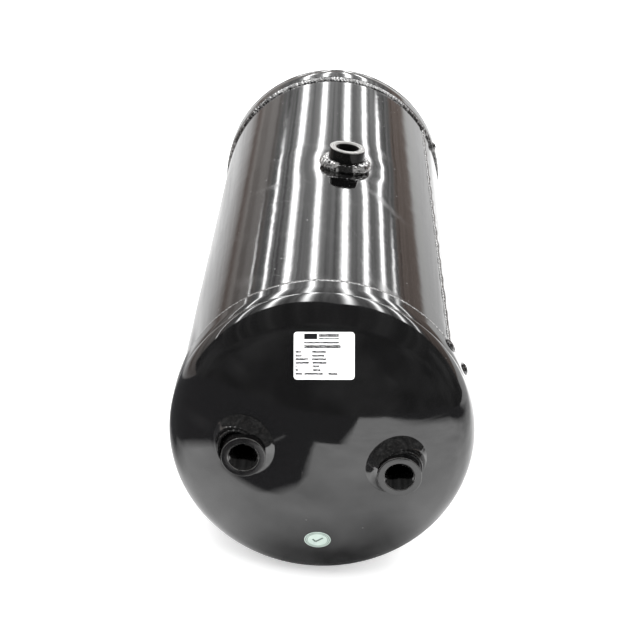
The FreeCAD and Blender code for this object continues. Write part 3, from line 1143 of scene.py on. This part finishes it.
def floorColour(tree, place):
    inputs = {"Vector": place, "Scale": floorView["wobbleScale"], "Detail": 2.0}
    shift = put(tree, "ShaderNodeTexNoise", inputs).outputs["Color"]
    shift = put(tree, "ShaderNodeVectorMath", {0: shift, 1: (0.5, 0.5, 0.5)}, operation="SUBTRACT").outputs[0]
    inputs = {0: shift, "Scale": floorView["wobble"]}
    shift = put(tree, "ShaderNodeVectorMath", inputs, operation="SCALE").outputs[0]
    spot = put(tree, "ShaderNodeVectorMath", {0: place, 1: shift}, operation="ADD").outputs[0]

    def patch(left, right, front, back, soft, turn=0.0, pivot=(0, 0)):
        vector = spot
        if turn:
            vector = inFrame(tree, spot, (pivot[0], pivot[1], 0), (0, 0, math.radians(turn)))
        sides = {"Left": left, "Right": right, "Front": front, "Back": back}
        return placed(tree, softPatch, Vector=vector, Soft=soft, **sides)["Mask"]

    low, high = floorView["pale"] * floorView["paleLow"], floorView["pale"] * floorView["paleHigh"]
    tone = ranged(tree, noise(tree, place, floorView["cloudScale"], 4.0, 0.65), 0.3, 0.7, low, high)
    # paler patches, and the painted shadow under the tank
    for lift, *box in floorView["paleAndShadedPatches"]:
        tone = maths(tree, "MULTIPLY_ADD", patch(*box), lift, tone)
    beside = folded(tree, "MULTIPLY", *[patch(*box) for box in floorView["beside"]])
    tone = maths(tree, "MULTIPLY_ADD", beside, floorView["besideLift"], tone)
    colour = blended(tree, patch(*floorView["brownPatch"]), grey(tree, tone), floorView["brown"])
    colour = blended(tree, patch(*floorView["farPatch"]), colour, floorView["far"])
    notch = maths(tree, "SUBTRACT", patch(*floorView["notch"]), patch(*floorView["notchCut"]), clamp=True)
    darks = folded(tree, "MAXIMUM", notch, *[patch(*box) for box in floorView["darks"]])
    return blended(tree, darks, colour, floorView["dark"])


def makeFloorView():
    startFresh()
    bpy.ops.mesh.primitive_plane_add(size=studio["floorSize"], location=(0, 0, mm))
    sheet = named("floorView")
    applyPlace(sheet)
    forGloss(sheet, floorColour)


# the ceiling as gloss sees it: strip lights that run along the tank, from above its near end
ceilingView = {
    "height": 1.2, "middle": (-0.65, 6.0), "size": (5.0, 14.0), "low": 0.09, "high": 0.60,
    "strips": [  # how far across each strip light hangs, its width, where it ends and how bright it is
        (-2.12, 0.090, 6.2, 6.0), (-1.015, 0.080, 8.0, 8.0), (-0.388, 0.048, 8.0, 8.0),
        (0.148, 0.048, 8.0, 8.0), (0.58, 0.042, 8.0, 8.0), (1.05, 0.050, 4.5, 7.0), (1.54, 0.045, 3.9, 5.0),
    ],
    "spillWidth": 1.6, "spill": 0.18, "fade": 1.15, "stretch": 0.02, "cloudScale": 8.0, "clouds": (0.4, 0.62),
    "sideTone": 0.3, "leftSide": (-2.9, -2.4), "rightSide": (1.6, 1.75),
}


def ceilingColour(tree, place):
    x, y = split(tree, place)["X"], split(tree, place)["Y"]
    stretch = ceilingView["stretch"]  # the ceiling's clouds are drawn out along the tank
    lane = put(tree, "ShaderNodeCombineXYZ", {"X": x, "Y": maths(tree, "MULTIPLY", y, stretch)}).outputs[0]
    tone = noise(tree, lane, ceilingView["cloudScale"], 5.0, 0.7)
    tone = ranged(tree, tone, *ceilingView["clouds"], ceilingView["low"], ceilingView["high"])
    for across, width, end, bright in ceilingView["strips"]:
        wide = width * ceilingView["height"]
        away = maths(tree, "ABSOLUTE", maths(tree, "SUBTRACT", x, across))
        spill = maths(tree, "EXPONENT", maths(tree, "DIVIDE", away, -ceilingView["spillWidth"] * wide))
        spill = maths(tree, "MULTIPLY", spill, ceilingView["spill"] * bright)
        glow = maths(tree, "MULTIPLY_ADD", bell(tree, x, across, wide), bright, spill)
        reach = ranged(tree, y, end, end * ceilingView["fade"], 1.0, 0.0, True)
        tone = maths(tree, "MULTIPLY_ADD", glow, reach, tone)
    sides = maths(
        tree, "MULTIPLY", ranged(tree, x, *ceilingView["rightSide"], 1.0, 0.0, True),
        ranged(tree, x, *ceilingView["leftSide"], 0.0, 1.0, True)
    )
    sideTone = ceilingView["sideTone"]
    tone = maths(tree, "MULTIPLY_ADD", maths(tree, "SUBTRACT", tone, sideTone), sides, sideTone)
    edge = maths(tree, "MULTIPLY_ADD", maths(tree, "ABSOLUTE", x), studio["frontSpread"], studio["frontEdge"])
    lit = ranged(tree, maths(tree, "SUBTRACT", y, edge), -0.04, 0.04, smooth=True)
    return grey(tree, put(tree, "ShaderNodeMix", {0: lit, 2: frontTone(tree, lane), 3: tone}).outputs[0])


def makeCeilingView():
    startFresh()
    place = (*ceilingView["middle"], axisZ + ceilingView["height"])
    bpy.ops.mesh.primitive_plane_add(size=1, location=place, rotation=(math.pi, 0, 0))
    sheet = named("ceilingView")
    sheet.scale = (*ceilingView["size"], 1)
    applyPlace(sheet)
    forGloss(sheet, ceilingColour)


# the walls as gloss sees them: lanes on the left with a window, stripes on the right
walls = {
    "leftLow": (0.30, 0.27, 0.255, 1), "leftHigh": (0.80, 0.77, 0.75, 1),
    "lanes": [  # where each lies across, its width and its tone
        (-3.35, 0.45, (0.26, 0.24, 0.23, 1)), (-2.45, 0.10, (1.3, 1.3, 1.3, 1)),
        (-26.0, 14.0, (0.30, 0.27, 0.255, 1)),
    ],
    "window": (-4.0, 0.16, (5.0, 5.0, 5.0, 1)), "windowEnd": (9.0, 10.5),
    "rightLow": (0.13, 0.105, 0.095, 1), "rightHigh": (0.58, 0.48, 0.43, 1),
    "skirting": (1.05, 1.05, 1.04, 1), "skirtingTop": (0.03, 0.075), "lean": 0.38,
}


def wallColour(tree, way):
    parts = split(tree, way)
    rise = maths(tree, "MAXIMUM", parts["Z"], 0.02)
    across, along = (maths(tree, "DIVIDE", parts[axis], rise) for axis in ("X", "Y"))
    lane = put(tree, "ShaderNodeCombineXYZ", {"X": across}).outputs[0]
    left = ranged(tree, noise(tree, lane, 2.7, 4.0, 0.65), 0.35, 0.65)
    left = blended(tree, left, walls["leftLow"], walls["leftHigh"])
    for middle, width, tone in walls["lanes"]:
        left = blended(tree, bell(tree, across, middle, width), left, tone)
    middle, width, tone = walls["window"]
    glass = ranged(tree, along, *walls["windowEnd"], 1.0, 0.0, True)
    left = blended(tree, maths(tree, "MULTIPLY", bell(tree, across, middle, width), glass), left, tone)
    right = ranged(tree, noise(tree, lane, 5.5, 4.0, 0.7), 0.40, 0.60)
    right = blended(tree, right, walls["rightLow"], walls["rightHigh"])
    wall = blended(tree, ranged(tree, parts["X"], -0.1, 0.1), left, right)
    low = ranged(tree, parts["Z"], *walls["skirtingTop"], 1.0, 0.0, True)
    low = maths(tree, "MULTIPLY", low, ranged(tree, parts["X"], 0.0, 0.1, smooth=True))
    wall = blended(tree, low, wall, walls["skirting"])
    spread = maths(tree, "MULTIPLY", parts["Z"], walls["lean"])
    spread = maths(tree, "MULTIPLY_ADD", maths(tree, "ABSOLUTE", parts["X"]), studio["frontSpread"], spread)
    behind = ranged(tree, maths(tree, "SUBTRACT", parts["Y"], spread), -0.05, 0.05, smooth=True)
    return blended(tree, behind, grey(tree, frontTone(tree, way)), wall)


def makeWorld():
    world = bpy.data.worlds.new("studioWorld")
    bpy.context.scene.world = world
    world.use_nodes = True
    tree = world.node_tree
    tree.nodes.clear()
    glossy = wallColour(tree, put(tree, "ShaderNodeTexCoord").outputs["Generated"])
    light = put(tree, "ShaderNodeLightPath").outputs
    dome = studio["dome"]
    soft = blended(tree, light["Is Diffuse Ray"], glossy, (dome, dome, dome, 1))
    seen = blended(tree, light["Is Camera Ray"], soft, (1, 1, 1, 1))
    backdrop = put(tree, "ShaderNodeBackground", {"Color": seen, "Strength": 1.0})
    put(tree, "ShaderNodeOutputWorld", {"Surface": backdrop.outputs[0]})


def makeOverheadLight():
    data = bpy.data.lights.new("overheadLight", "AREA")
    data.shape = "RECTANGLE"
    data.size, data.size_y = studio["lampSize"]
    data.energy = studio["lamp"] * math.pi * data.size * data.size_y
    lamp = bpy.data.objects.new(data.name, data)
    bpy.context.scene.collection.objects.link(lamp)
    lamp.location = studio["lampPlace"]
    lamp.visible_camera = False
    lamp.visible_glossy = False


makeFloor()
makeFloorView()
makeCeilingView()
makeWorld()
makeOverheadLight()
print("studio set")

shot = {
    "place": (-0.0572, -1.3132, 0.7153), "forward": (0.0377, 0.8984, -0.4376),
    "up": (-0.1285, 0.4386, 0.8894), "sensor": 36, "lens": 81.7903, "nearest": 0.05,
}


def makeCamera():
    data = bpy.data.cameras.new("camera")
    camera = bpy.data.objects.new("camera", data)
    bpy.context.scene.collection.objects.link(camera)
    forward = Vector(shot["forward"]).normalized()
    right = forward.cross(Vector(shot["up"])).normalized()
    up = right.cross(forward).normalized()
    turn = Matrix((right, up, -forward)).transposed().to_4x4()
    camera.matrix_world = Matrix.Translation(shot["place"]) @ turn
    data.sensor_width = shot["sensor"]
    data.lens = shot["lens"]
    data.clip_start = shot["nearest"]
    bpy.context.scene.camera = camera


makeCamera()
view = bpy.context.scene.view_settings
view.view_transform = "Standard"
view.look = "None"
